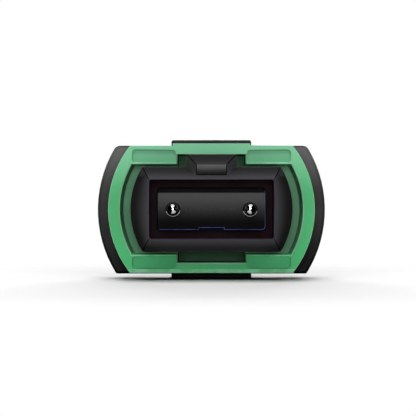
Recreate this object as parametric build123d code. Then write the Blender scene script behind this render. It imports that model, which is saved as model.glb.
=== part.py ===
from build123d import *

import os
from math import cos, pi, radians, sin, sqrt, tan

# Frame: X runs across the plug, Z points up to the key, and Y runs back from the mating end.
# The origin is the middle of the ferrule's end face, half-way between the guide pins.
# Sizes are in millimetres.

# Fits and clearances
slide_gap = 0.08  # coupling on the inner housing, all round
float_gap = 0.1  # ferrule in the collar of the inner housing, all round
stop_gap = 0.02  # between faces that a spring presses together
press_gap = 0.01  # between pieces that are pressed or snapped together
bore_gap = 0.001  # round a guide pin or a fibre, in its hole

# Guide pins
pin_pitch = 4.6
pin_diameter = 0.7
pin_reach = 2.1  # how far they stand out of the ferrule
pin_nose = 0.62
pin_tip_radius = 0.12
pin_neck_diameter = 0.5
pin_neck_length = 0.5
pin_neck_place = 0.5  # behind the ferrule
pin_tail = 1.6  # behind the ferrule

# Fibres, drawn with a few flats, as are their bores
fibre_count = 12
fibre_pitch = 0.25
fibre_diameter = 0.125
fibre_side_count = 6
fibre_proud = 0.002
fibre_setback = 0.1  # of their rear ends, in the boot

# Ferrule
pin_wall = 0.55  # outside each guide hole
ferrule_height = 2.45
ferrule_corner = 0.2
ferrule_length = 8.0
polish_angle = 8.0
hole_chamfer = 0.09
flange_step = 0.4  # at each side
flange_rise = 0.275  # above and below
flange_length = 1.8
notch_width = 1.5
notch_depth = 0.12
pocket_wall = 0.18  # between the pocket and each guide hole
pocket_height = 1.24
pocket_depth = 5.4
glue_window_width = 3.0
glue_window_length = 2.2
glue_window_setback = 0.3  # behind the pocket's front

# Ferrule boot
boot_gap = 0.02
boot_depth = 2.2  # in the ferrule
boot_tail = 0.4  # behind the keeper
boot_slot_gap = 0.1
boot_slot_height = 0.34

# Pin keeper
keeper_inset = 0.1  # inside the outline of the ferrule's flange
keeper_length = 2.0
keeper_corner = 0.3
keeper_slot_gap = 0.03  # round a pin, in its slot

# Inner housing
opening_side_gap = 0.5  # from the ferrule to the opening
opening_top_gap = 0.525
opening_corner = 0.12
nose_reach = 0.4  # in front of the ferrule's end face
nose_lip = 0.05
nose_bevel = 0.8
collar_length = 1.78
cavity_side_gap = 0.2  # round the ferrule's flange
cavity_top_gap = 0.15
cavity_corner = 0.3
housing_side_wall = 1.04
housing_top_wall = 0.87
key_width = 3.0
key_rise = 0.76
key_setback = 0.27
key_bevel = 0.6
key_tip_width = 1.8
key_tip_rise = 0.13
catch_lead = 0.9  # of the side notches, in front of the coupling
catch_length = 2.4
catch_ramp = 0.8
catch_depth = 0.6
catch_height = 3.2

# Main spring, wound on an oval
spring_wire = 0.45
spring_room = 0.225  # above and below the spring
spring_margin = 0.025  # of its seat, at each side
spring_laps = 4  # open laps between the two closed ends
spring_end_rise = 0.5  # of a closed lap
spring_length = 7.5
spring_side_count = 5
bend_chords = 6  # straight pieces in each half turn
guide_length = 0.6  # oval bosses that keep the spring's ends in place
guide_gap = 0.1  # from a boss to the spring
guide_wall = 0.15

# Spring push, which closes the inner housing and carries the cable
seat_length = 2.1  # in the inner housing
arm_play = 0.13  # from an arm to the cavity's wall
arm_wall = 0.42
arm_slot = 0.2
arm_height = 2.0
arm_tip = 0.1
hook_setback = 1.9  # in front of the inner housing's rear
hook_length = 0.8
hook_lead = 0.4
hook_height = 1.6
hook_inset = 0.32  # inside the housing's flank
window_play = 0.06
push_flange_length = 1.79
passage_wall = 0.8
post_diameter = 3.8
post_bore = 2.8
post_shoulder = 4.8
post_cone = 0.9
ridge_count = 2
ridge_pitch = 2.0
ridge_rise = 0.09
ridge_setback = 0.9  # behind the sleeve's front

# Crimp sleeve
sleeve_wall = 0.3
sleeve_setback = 0.2  # behind the post's cone
sleeve_grip = 6.5  # length on the post
sleeve_lead = 0.15  # chamfer inside its front edge
sleeve_cone = 0.8
neck_bore = 3.2
neck_length = 3.4

# Coupling
hook_room = 0.69  # beside the nose, for an adapter's hooks
rim_wall = 0.72
hollow_top_gap = 0.18
block_height = 1.15  # of the four corner blocks
hollow_depth = 3.8
hollow_draft = 0.12  # by which each side wall of the hollow closes in
ledge_length = 1.2  # behind the hollow, in front of the tongues
key_cover = 7.4  # length of the key inside the coupling
key_play = 0.1  # behind the key, in its channel
key_channel_gap = 0.06  # above the key
key_channel_side = 0.53  # beside the key
under_channel_depth = 0.5
channel_end_wall = 1.0
corner_pad_side = 1.45  # from the sleeve's side to the sunk face of a corner block
corner_pad_edge = 0.25  # from its top or bottom
corner_pad_rim = 0.12  # round the sunk face, towards the hollow and the channel
corner_pad_depth = 0.15
corner_pad_corner = 0.2
channel_chamfer = 0.09
under_chamfer = 0.2  # of the front edge below
strip_width = 4.7
strip_rise = 0.14
core_side_step = 0.2  # where the grip shell begins
core_top_step = 0.65
coupling_overhang = 3.8  # behind the inner housing
snap_width = 3.0
snap_length = 0.9
snap_rise = 0.25
snap_setback = 1.6

# Coupling springs
return_wire = 0.25
return_diameter = 1.16
return_turns = 5  # open turns between the two closer ends
return_end_pitch = 0.5
return_length = 6.2
return_side_count = 5
return_chords = 9  # straight pieces in each turn
return_gap = 0.07  # round a spring, in its groove
return_inset = 0.09  # of its axis, inside the housing's flank
groove_wall = 0.62  # between a groove and the window behind it
tongue_length = 1.0
tongue_gap = 0.1  # round a tongue, in its groove

# Grip shell
grip_side_wall = 1.05
grip_top_wall = 0.8
grip_side_radius = 7.5
grip_top_corner = 0.45
grip_bottom_corner = 0.15
grip_edge = 0.15
grip_pad_width = 5.0
grip_pad_rise = 0.36
grip_pad_inset = 0.7
rib_count = 6
rib_pitch = 1.4
rib_groove = 0.6
rib_depth = 0.28
rib_height = 6.0

# Widths and heights that follow, from the ferrule outwards
ferrule_width = pin_pitch + pin_diameter + 2 * pin_wall
flange_width = ferrule_width + 2 * flange_step
flange_height = ferrule_height + 2 * flange_rise
flange_corner = ferrule_corner + flange_rise
pocket_width = pin_pitch - pin_diameter - 2 * pocket_wall
boot_width = pocket_width - 2 * boot_gap
boot_height = pocket_height - 2 * boot_gap
boot_slot_width = fibre_count * fibre_pitch + boot_slot_gap
keeper_width = flange_width - 2 * keeper_inset
keeper_height = flange_height - 2 * keeper_inset
collar_width = ferrule_width + 2 * float_gap
collar_height = ferrule_height + 2 * float_gap
opening_width = ferrule_width + 2 * opening_side_gap
opening_height = ferrule_height + 2 * opening_top_gap
cavity_width = flange_width + 2 * cavity_side_gap
cavity_height = flange_height + 2 * cavity_top_gap
housing_width = cavity_width + 2 * housing_side_wall
housing_height = cavity_height + 2 * housing_top_wall
key_top = housing_height / 2 + key_rise
key_tip_top = housing_height / 2 + key_tip_rise
arm_outside = cavity_width / 2 - arm_play
arm_inside = arm_outside - arm_wall
seat_width = 2 * (arm_inside - arm_slot)
hook_outside = housing_width / 2 - hook_inset
spring_bend = cavity_height / 2 - spring_room - spring_wire / 2
spring_straight = seat_width - 2 * (spring_margin + spring_bend + spring_wire / 2)
guide_radius = spring_bend - spring_wire / 2 - guide_gap
sleeve_bore = post_diameter + 2 * (ridge_rise + press_gap)
hollow_width = housing_width + 2 * hook_room
hollow_height = housing_height + 2 * hollow_top_gap
coupling_width = hollow_width + 2 * rim_wall
coupling_height = hollow_height + 2 * block_height
key_channel_width = key_width + 2 * key_channel_side
core_width = coupling_width - 2 * core_side_step
core_height = coupling_height - 2 * core_top_step
return_axis = housing_width / 2 - return_inset
groove_radius = return_diameter / 2 + return_gap
grip_width = core_width + 2 * grip_side_wall
grip_height = core_height + 2 * grip_top_wall

# Places along Y that follow, from the ferrule back and then forward to the coupling
flange_front = ferrule_length - flange_length
pocket_front = ferrule_length - pocket_depth
collar_rear = flange_front - stop_gap
collar_front = collar_rear - collar_length
nose_front = -nose_reach
key_front = nose_front + key_setback
keeper_rear = ferrule_length + keeper_length
boot_front = ferrule_length - boot_depth
boot_rear = keeper_rear + guide_length + boot_tail
spring_rear = keeper_rear + spring_length
housing_rear = spring_rear + seat_length
flange_start = housing_rear + press_gap
push_flange_rear = flange_start + push_flange_length
sleeve_front = push_flange_rear + post_cone + sleeve_setback
post_rear = sleeve_front + sleeve_grip
neck_front = post_rear + sleeve_cone
sleeve_rear = neck_front + neck_length
hook_rear = housing_rear - hook_setback
hook_front = hook_rear - hook_length
window_front = hook_front - window_play
window_rear = hook_rear + stop_gap
groove_rear = window_front - groove_wall
tongue_rear = groove_rear - return_length
tongue_front = tongue_rear - tongue_length
groove_front = tongue_front - stop_gap
hollow_rear = groove_front - ledge_length
coupling_front = hollow_rear - hollow_depth
catch_front = coupling_front - catch_lead
key_rear = coupling_front + key_cover
channel_rear = key_rear + key_play
shoulder = channel_rear + channel_end_wall
coupling_rear = housing_rear + coupling_overhang
snap_front = coupling_rear - snap_setback - snap_length


def across(y):
    """The plane across the plug at y, whose own vertical points up."""
    return Plane(origin=(0, y, 0), x_dir=(1, 0, 0), z_dir=(0, -1, 0))


def prism(profile, front, rear):
    """A profile carried straight back from front to rear."""
    return extrude(across(front) * profile, amount=rear - front, dir=(0, 1, 0))


def block(width, bottom, top, front, rear):
    """A rectangular piece, even about the plug's middle plane."""
    profile = Pos(0, (bottom + top) / 2) * Rectangle(width, top - bottom)
    return prism(profile, front, rear)


def barrel(width, height, side_radius):
    """A profile with a flat top and bottom and arched sides."""
    half_width, half_height = width / 2, height / 2
    corner = half_width - side_radius + sqrt(side_radius**2 - half_height**2)
    top = Line((-corner, half_height), (corner, half_height))
    right = ThreePointArc((corner, half_height), (half_width, 0), (corner, -half_height))
    bottom = Line((corner, -half_height), (-corner, -half_height))
    left = ThreePointArc((-corner, -half_height), (-half_width, 0), (-corner, half_height))
    return make_face(top + right + bottom + left)


def round_barrel(width, height):
    """A circle cut flat at the top and bottom."""
    return barrel(width, height, width / 2)


def side_block(outline, height):
    """A piece seen from above as an outline of (x, y) points, even about the middle height."""
    return extrude(Polygon(*outline, align=None), amount=height / 2, both=True)


def both_sides(piece):
    """A piece on the right, and its mirror image on the left."""
    return piece + mirror(piece, Plane.YZ)


def turned(outline):
    """A solid of revolution about the Y axis, from an outline of (radius, y) points."""
    return revolve(Polygon(*outline, align=None), axis=Axis.Y)


def polished_off(proud=0.0):
    """What lies in front of the slanted end face, which leans back towards the key."""
    reach = 2 * ferrule_width
    return Pos(0, -proud, 0) * Rot(-polish_angle, 0, 0) * Pos(0, -reach / 2, 0) * Box(reach, reach, reach)


def fibre_places():
    """The X of each fibre, from left to right."""
    middle = (fibre_count - 1) / 2
    return [(i - middle) * fibre_pitch for i in range(fibre_count)]


def guide_hole(lead):
    """The hole for one guide pin, with a chamfered mouth, from a lead in front of the end face."""
    radius = pin_diameter / 2 + bore_gap
    flare = radius + hole_chamfer + lead
    rear = ferrule_length
    return turned([(0, -lead), (flare, -lead), (radius, hole_chamfer), (radius, rear), (0, rear)])


def ferrule():
    """The moulded block that holds the fibres and pins, with its flange, window and end face."""
    overhang = ferrule_height * tan(radians(polish_angle))
    body = prism(RectangleRounded(ferrule_width, ferrule_height, ferrule_corner), -overhang, flange_front)
    body += prism(RectangleRounded(flange_width, flange_height, flange_corner), flange_front, ferrule_length)
    half_height = ferrule_height / 2
    body -= block(notch_width, -half_height, notch_depth - half_height, -overhang, flange_front)
    body -= block(pocket_width, -pocket_height / 2, pocket_height / 2, pocket_front, ferrule_length)
    glue_front = pocket_front + glue_window_setback
    body -= block(glue_window_width, 0, flange_height, glue_front, glue_front + glue_window_length)
    body -= both_sides(Pos(pin_pitch / 2, 0, 0) * guide_hole(overhang))
    fibre_bore = RegularPolygon(fibre_diameter / 2 + bore_gap, fibre_side_count)
    for x in fibre_places():
        body -= prism(Pos(x, 0) * fibre_bore, -overhang, pocket_front)
    return body - polished_off()


def fibre(x):
    """One bare glass fibre, from the end face to the rear of the boot."""
    section = Pos(x, 0) * RegularPolygon(fibre_diameter / 2, fibre_side_count)
    rod = prism(section, -fibre_diameter, boot_rear - fibre_setback)
    return rod - polished_off(fibre_proud)


def guide_pin(x):
    """A ground pin with a bullet nose and, behind the ferrule, a neck for the keeper."""
    radius = pin_diameter / 2
    neck = pin_neck_diameter / 2
    neck_front = ferrule_length + pin_neck_place
    neck_rear = neck_front + pin_neck_length
    tail = ferrule_length + pin_tail
    tip = (pin_tip_radius, -pin_reach)
    nose_rear = (radius, pin_nose - pin_reach)
    outline = Line((0, -pin_reach), tip)
    outline += TangentArc(nose_rear, tip, tangent=(0, -1))
    outline += Polyline(
        nose_rear,
        (radius, neck_front),
        (neck, neck_front),
        (neck, neck_rear),
        (radius, neck_rear),
        (radius, tail),
        (0, tail),
        (0, -pin_reach),
    )
    return Pos(x, 0, 0) * revolve(make_face(outline), axis=Axis.Y)


def spring_guide():
    """The oval boss that stands inside the end of the main spring."""
    return SlotOverall(spring_straight + 2 * guide_radius, 2 * guide_radius)


def pin_keeper():
    """The clip behind the ferrule, with a web in each slot that holds the neck of a pin."""
    body = prism(RectangleRounded(keeper_width, keeper_height, keeper_corner), ferrule_length, keeper_rear)
    body += prism(spring_guide(), keeper_rear, keeper_rear + guide_length)
    hole = Rectangle(pocket_width, pocket_height)
    body -= prism(hole, ferrule_length, keeper_rear + guide_length)
    web_front = ferrule_length + pin_neck_place + keeper_slot_gap
    web_rear = web_front + pin_neck_length - 2 * keeper_slot_gap
    below = Pos(pin_pitch / 2, 0)
    for diameter, front, rear in (
        (pin_diameter, ferrule_length, web_front),
        (pin_neck_diameter, web_front, web_rear),
        (pin_diameter, web_rear, ferrule_length + pin_tail + keeper_slot_gap),
    ):
        slot_width = diameter + 2 * keeper_slot_gap
        slot = Circle(slot_width / 2) + Pos(0, -keeper_height / 2) * Rectangle(slot_width, keeper_height)
        body -= both_sides(prism(below * slot, front, rear))
    return body


def ferrule_boot():
    """The soft sleeve that leads the flat ribbon of fibres into the ferrule."""
    body = prism(RectangleRounded(boot_width, boot_height, boot_slot_height / 2), boot_front, boot_rear)
    return body - prism(Rectangle(boot_slot_width, boot_slot_height), boot_front, boot_rear)


def wound(points, wire_diameter, flats):
    """A spring's wire, drawn with a few flats, along straight pieces from point to point."""
    path = Polyline(*points)
    start = Plane(origin=path @ 0, x_dir=(0, 1, 0), z_dir=path % 0)
    return sweep(start * RegularPolygon(wire_diameter / 2, flats), path=path, transition=Transition.RIGHT)


def main_spring():
    """The oval spring behind the ferrule: closed laps at both ends, open laps between them."""
    half = spring_straight / 2
    lap = 2 * spring_straight + 2 * pi * spring_bend
    open_rise = (spring_length - spring_wire - 2 * spring_end_rise) / spring_laps
    y = keeper_rear + spring_wire / 2
    points = [(-half, y, spring_bend)]
    for rise in [spring_end_rise] + [open_rise] * spring_laps + [spring_end_rise]:
        straight_rise = rise * spring_straight / lap
        chord_rise = (rise / 2 - straight_rise) / bend_chords
        for side in (1, -1):
            y += straight_rise
            points.append((side * half, y, side * spring_bend))
            for i in range(1, bend_chords + 1):
                y += chord_rise
                turn = pi * i / bend_chords
                x = half + spring_bend * sin(turn)
                points.append((side * x, y, side * spring_bend * cos(turn)))
    return wound(points, spring_wire, spring_side_count)


def coupling_spring():
    """The right-hand spring that pushes the coupling forward: open turns between closer ends."""
    radius = (return_diameter - return_wire) / 2
    open_pitch = (return_length - return_wire - 2 * return_end_pitch) / return_turns
    y = tongue_rear + return_wire / 2
    points = [(return_axis, y, radius)]
    for pitch in [return_end_pitch] + [open_pitch] * return_turns + [return_end_pitch]:
        for i in range(1, return_chords + 1):
            turn = 2 * pi * i / return_chords
            y += pitch / return_chords
            points.append((return_axis + radius * sin(turn), y, radius * cos(turn)))
    return wound(points, return_wire, return_side_count)


def housing_outline():
    """The outside of the inner housing, which the coupling slides along."""
    return round_barrel(housing_width, housing_height)


def nose():
    """The bevelled front of the inner housing, from its opening out to its full size."""
    mouth = Rectangle(opening_width + 2 * nose_lip, opening_height + 2 * nose_lip)
    full = across(nose_front + nose_bevel) * housing_outline()
    return loft([(across(nose_front) * mouth).face(), full.face()], ruled=True)


def key():
    """The raised key on top of the inner housing, with a bevelled tip."""
    foot = opening_height / 2 + nose_lip
    base = Pos(0, (foot + key_top) / 2) * Rectangle(key_width, key_top - foot)
    tip = Pos(0, (foot + key_tip_top) / 2) * Rectangle(key_tip_width, key_tip_top - foot)
    full = key_front + key_bevel
    bevel = loft([(across(key_front) * tip).face(), (across(full) * base).face()], ruled=True)
    return bevel + block(key_width, foot, key_top, full, key_rear)


def spring_groove():
    """The room for the right-hand coupling spring, seen along the plug."""
    return Pos(return_axis, 0) * Circle(groove_radius)


def inner_housing():
    """The moulded tube that the ferrule floats in, with its key, catches, grooves and windows."""
    body = prism(housing_outline(), nose_front + nose_bevel, housing_rear) + nose() + key()
    opening = RectangleRounded(opening_width, opening_height, opening_corner)
    body -= prism(opening, nose_front, collar_front)
    collar = RectangleRounded(collar_width, collar_height, ferrule_corner)
    body -= prism(collar, collar_front, collar_rear)
    cavity = RectangleRounded(cavity_width, cavity_height, cavity_corner)
    body -= prism(cavity, collar_rear, housing_rear)
    outside = housing_width
    catch_floor = housing_width / 2 - catch_depth
    catch_rear = catch_front + catch_length
    ramp_reach = catch_ramp * (outside - catch_floor) / catch_depth
    catch = [
        (catch_floor, catch_front),
        (outside, catch_front),
        (outside, catch_rear + ramp_reach),
        (catch_floor, catch_rear),
    ]
    body -= both_sides(side_block(catch, catch_height))
    body -= both_sides(prism(spring_groove(), groove_front, groove_rear))
    window = [
        (arm_outside, window_front),
        (outside, window_front),
        (outside, window_rear),
        (arm_outside, window_rear),
    ]
    return body - both_sides(side_block(window, hook_height + 2 * window_play))


def coupling_tongue():
    """The right-hand tongue, which pushes on its spring and stops at the front of its groove."""
    radius = groove_radius - tongue_gap
    root = Pos(return_axis + radius / 2, 0) * Rectangle(radius, 2 * radius)
    return prism(Pos(return_axis, 0) * Circle(radius) + root, tongue_front, tongue_rear)


def snap_ramp(side, play):
    """The wedge that keeps the grip shell on the coupling, on its top (1) or bottom (-1)."""
    outline = [
        (snap_front - play, side * (core_height / 2 - press_gap)),
        (snap_front - play, side * (core_height / 2 + snap_rise + play)),
        (snap_front + snap_length + play, side * (core_height / 2 + play)),
        (snap_front + snap_length + play, side * (core_height / 2 - press_gap)),
    ]
    return extrude(Plane.YZ * Polygon(*outline, align=None), amount=snap_width / 2 + play, both=True)


def hollow():
    """The room behind the coupling's open front, whose side walls close in a little."""
    mouth = across(coupling_front) * round_barrel(hollow_width, hollow_height)
    end = across(hollow_rear) * round_barrel(hollow_width - 2 * hollow_draft, hollow_height)
    return loft([mouth.face(), end.face()], ruled=True)


def corner_pads():
    """The sunk faces of the four corner blocks."""
    inside = key_channel_width / 2 + corner_pad_rim
    outside = coupling_width / 2 - corner_pad_side
    bottom = hollow_height / 2 + corner_pad_rim
    top = coupling_height / 2 - corner_pad_edge
    pad = RectangleRounded(outside - inside, top - bottom, corner_pad_corner)
    places = GridLocations(outside + inside, top + bottom, 2, 2)
    return Sketch() + [place * pad for place in places]


def coupling_sleeve():
    """The sleeve that slides on the inner housing. Its open front locks an adapter's hooks."""
    outline = round_barrel(coupling_width, coupling_height)
    core = round_barrel(core_width, core_height)
    front = prism(outline, coupling_front, shoulder)
    lowest = front.edges().group_by(Axis.Y)[0].sort_by(Axis.Z)[0]
    body = chamfer(lowest, under_chamfer) + prism(core, shoulder, coupling_rear)
    body += snap_ramp(1, 0) + snap_ramp(-1, 0)
    bore = round_barrel(housing_width + 2 * slide_gap, housing_height + 2 * slide_gap)
    body -= prism(bore, coupling_front, coupling_rear)
    body -= hollow()
    body -= block(key_channel_width, 0, key_top + key_channel_gap, coupling_front, channel_rear)
    floor = -hollow_height / 2 - under_channel_depth
    body -= block(key_channel_width, floor, 0, coupling_front, channel_rear)
    body = chamfer(body.edges().filter_by(Axis.Z).group_by(Axis.Y)[0], channel_chamfer)
    body -= prism(corner_pads(), coupling_front, coupling_front + corner_pad_depth)
    half_height = coupling_height / 2
    body += block(strip_width, half_height - strip_rise, half_height + strip_rise, coupling_front, shoulder)
    body -= both_sides(prism(spring_groove(), tongue_rear, groove_rear + stop_gap))
    return body + both_sides(coupling_tongue())


def grip_profile():
    """The outside of the grip shell, seen along the plug."""
    profile = barrel(grip_width, grip_height, grip_side_radius)
    profile = fillet(profile.vertices().group_by(Axis.Y)[-1], grip_top_corner)
    return fillet(profile.vertices().group_by(Axis.Y)[0], grip_bottom_corner)


def rib_grooves():
    """The grooves between the ribs, on both arched sides of the grip shell."""
    floor = barrel(grip_width - 2 * rib_depth, grip_height, grip_side_radius - rib_depth)
    beyond = Rectangle(2 * grip_width, rib_height)
    first = (shoulder + coupling_rear - (rib_count - 1) * rib_pitch - rib_groove) / 2
    starts = [first + i * rib_pitch for i in range(rib_count)]
    return [prism(beyond - floor, start, start + rib_groove) for start in starts]


def grip_shell():
    """The shell that the fingers pull, pushed on over the rear of the coupling."""
    body = prism(grip_profile(), shoulder + press_gap, coupling_rear)
    ends = body.edges().group_by(Axis.Y)
    body = chamfer(ends[0] + ends[-1], grip_edge)
    pad_front = shoulder + grip_pad_inset
    pad_rear = coupling_rear - grip_pad_inset
    pad_top = grip_height / 2 + grip_pad_rise
    body += block(grip_pad_width, core_height / 2, pad_top, pad_front, pad_rear)
    body += block(grip_pad_width, -pad_top, -core_height / 2, pad_front, pad_rear)
    core = round_barrel(core_width + 2 * press_gap, core_height + 2 * press_gap)
    body -= prism(core, shoulder, coupling_rear)
    for groove in rib_grooves():
        body -= groove
    return body - snap_ramp(1, stop_gap) - snap_ramp(-1, stop_gap)


def latch_arm():
    """The right-hand arm of the spring push, whose hook snaps into the housing's window."""
    hook = [
        (arm_outside, hook_front),
        (hook_outside, hook_front + hook_lead),
        (hook_outside, hook_rear),
        (arm_outside, hook_rear),
    ]
    arm = [
        (arm_inside, hook_front - arm_tip),
        (arm_outside, hook_front - arm_tip),
        (arm_outside, flange_start),
        (arm_inside, flange_start),
    ]
    return side_block(arm, arm_height) + side_block(hook, hook_height)


def crimp_post():
    """The round post for the cable, with sharp ridges that the crimped sleeve bites on."""
    radius = post_diameter / 2
    outline = [(0, flange_start), (post_shoulder / 2, flange_start), (post_shoulder / 2, push_flange_rear)]
    outline.append((radius, push_flange_rear + post_cone))
    ridge_front = sleeve_front + ridge_setback
    for i in range(ridge_count):
        y = ridge_front + i * ridge_pitch
        outline += [(radius, y), (radius + ridge_rise, y + ridge_pitch)]
    outline.append((radius, ridge_front + ridge_count * ridge_pitch))
    outline += [(radius, post_rear), (0, post_rear)]
    return turned(outline)


def spring_push():
    """The moulding that closes the housing, seats the main spring and carries the cable."""
    seat = RectangleRounded(seat_width, cavity_height - 2 * press_gap, cavity_corner)
    body = prism(housing_outline(), flange_start, push_flange_rear)
    body += prism(seat, spring_rear, flange_start)
    body += prism(spring_guide(), spring_rear - guide_length, spring_rear)
    body += both_sides(latch_arm()) + crimp_post()
    passage_radius = guide_radius - guide_wall
    passage = SlotOverall(spring_straight + 2 * passage_radius, 2 * passage_radius)
    passage_rear = push_flange_rear - passage_wall
    body -= prism(passage, spring_rear - guide_length, passage_rear)
    return body - prism(Circle(post_bore / 2), passage_rear, post_rear)


def crimp_sleeve():
    """The stepped metal sleeve over the post. Its neck is the inlet for the cable."""
    inside, neck_inside = sleeve_bore / 2, neck_bore / 2
    outside, neck_outside = inside + sleeve_wall, neck_inside + sleeve_wall
    return turned([
        (inside + sleeve_lead, sleeve_front),
        (outside, sleeve_front),
        (outside, post_rear),
        (neck_outside, neck_front),
        (neck_outside, sleeve_rear),
        (neck_inside, sleeve_rear),
        (neck_inside, neck_front),
        (inside, post_rear),
        (inside, sleeve_front + sleeve_lead),
    ])


def left_of(piece):
    """The mirror image of a right-hand piece."""
    return mirror(piece, Plane.YZ)


parts = {
    "inner_housing": inner_housing(),
    "spring_push": spring_push(),
    "crimp_sleeve": crimp_sleeve(),
    "ferrule": ferrule(),
    "guide_pin_left": guide_pin(-pin_pitch / 2),
    "guide_pin_right": guide_pin(pin_pitch / 2),
    "pin_keeper": pin_keeper(),
    "ferrule_boot": ferrule_boot(),
    "main_spring": main_spring(),
    "coupling_sleeve": coupling_sleeve(),
    "grip_shell": grip_shell(),
    "coupling_spring_left": left_of(coupling_spring()),
    "coupling_spring_right": coupling_spring(),
}
for number, x in enumerate(fibre_places(), start=1):
    parts[f"fibre_{number:02}"] = fibre(x)

os.makedirs("parts", exist_ok=True)
for name, piece in parts.items():
    export_step(piece, f"parts/{name}.step")
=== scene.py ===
"""The looks of a multi-fibre push-on plug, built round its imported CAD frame.

Every piece sits in the frame's own metres. X runs across the plug, Z up to its key, and Y back
from the mating end to the cable's inlet.
"""

from __future__ import annotations

import logging
import math
from collections.abc import Callable
from dataclasses import dataclass, field, replace
from enum import Enum
from typing import ClassVar

import bmesh
import bpy
from bmesh.types import BMEdge, BMesh, BMFace, BMVert
from bpy.types import ID, Material, Node, NodeSocket, NodeTree, Object
from mathutils import Matrix, Vector

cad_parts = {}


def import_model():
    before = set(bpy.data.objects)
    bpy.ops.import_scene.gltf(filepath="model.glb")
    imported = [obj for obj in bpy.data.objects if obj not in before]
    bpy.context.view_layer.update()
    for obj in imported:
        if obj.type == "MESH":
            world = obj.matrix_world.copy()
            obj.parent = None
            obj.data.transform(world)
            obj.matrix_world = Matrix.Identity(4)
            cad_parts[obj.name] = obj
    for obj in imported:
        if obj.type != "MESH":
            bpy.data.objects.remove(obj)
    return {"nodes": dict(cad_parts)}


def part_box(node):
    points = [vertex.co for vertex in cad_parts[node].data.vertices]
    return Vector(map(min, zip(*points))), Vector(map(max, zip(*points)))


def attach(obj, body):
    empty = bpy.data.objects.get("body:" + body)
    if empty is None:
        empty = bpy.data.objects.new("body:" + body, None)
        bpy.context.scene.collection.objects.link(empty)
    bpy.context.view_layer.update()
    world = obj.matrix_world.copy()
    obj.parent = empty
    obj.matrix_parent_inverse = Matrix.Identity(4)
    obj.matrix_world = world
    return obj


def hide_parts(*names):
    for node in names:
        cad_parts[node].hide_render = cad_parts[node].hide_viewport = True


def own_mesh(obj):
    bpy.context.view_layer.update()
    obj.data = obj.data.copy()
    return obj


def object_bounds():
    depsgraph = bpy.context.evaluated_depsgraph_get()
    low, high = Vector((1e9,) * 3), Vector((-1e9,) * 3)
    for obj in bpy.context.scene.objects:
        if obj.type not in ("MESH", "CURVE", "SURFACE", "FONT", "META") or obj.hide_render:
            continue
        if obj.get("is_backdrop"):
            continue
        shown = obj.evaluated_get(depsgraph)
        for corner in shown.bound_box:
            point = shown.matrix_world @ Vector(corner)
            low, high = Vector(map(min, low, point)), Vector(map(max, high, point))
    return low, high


LOG = logging.getLogger("plug")
MM = 0.001
MERGE_DISTANCE = 0.0002 * MM
FLAT_ANGLE = math.radians(0.3)
SMOOTH_ANGLE = math.radians(32)
EDGE_LAYER = "edge"
FLOOR_ONLY = "floor_only"
VECTOR_MATHS = "ShaderNodeVectorMath"
FACING = 0.9  # how far along an axis a normal points that faces that way
Pair = tuple[float, float]
Triple = tuple[float, float, float]
PITCH_BLACK: Triple = (0.001, 0.001, 0.001)
UP: Triple = (0.0, 0.0, 1.0)
DOWN: Triple = (0.0, 0.0, -1.0)
FORWARDS: Triple = (0.0, -1.0, 0.0)
LENGTHWAYS: Triple = (0.0, 1.0, 0.0)
SIDEWAYS: Triple = (1.0, 0.0, 0.0)


class Body(Enum):
    """The CAD bodies that pieces ride on."""

    HOUSING = "housing"
    FERRULE = "ferrule_group"
    COUPLING = "coupling"


class Slot(Enum):
    """The material slots that the pieces are listed with."""

    HOUSING_BLACK = "housing_black"
    GRIP_BLACK = "grip_black"
    COUPLING_GREEN = "coupling_green"
    FERRULE_RESIN = "ferrule_resin"
    KEEPER_RESIN = "keeper_resin"
    PIN_STEEL = "pin_steel"
    SPRING_STEEL = "spring_steel"
    SLEEVE_NICKEL = "sleeve_nickel"
    BOOT_RUBBER = "boot_rubber"
    FIBRE_GLASS = "fibre_glass"


class Effect(Enum):
    """The shader node groups that several finishes share."""

    GRAIN = "moulded_grain"
    EDGE_WEAR_AND_HIGHLIGHT = "edge_wear_and_highlight"
    PAINTED_LIGHT = "painted_light"
    RINGS = "turned_rings"


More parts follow.
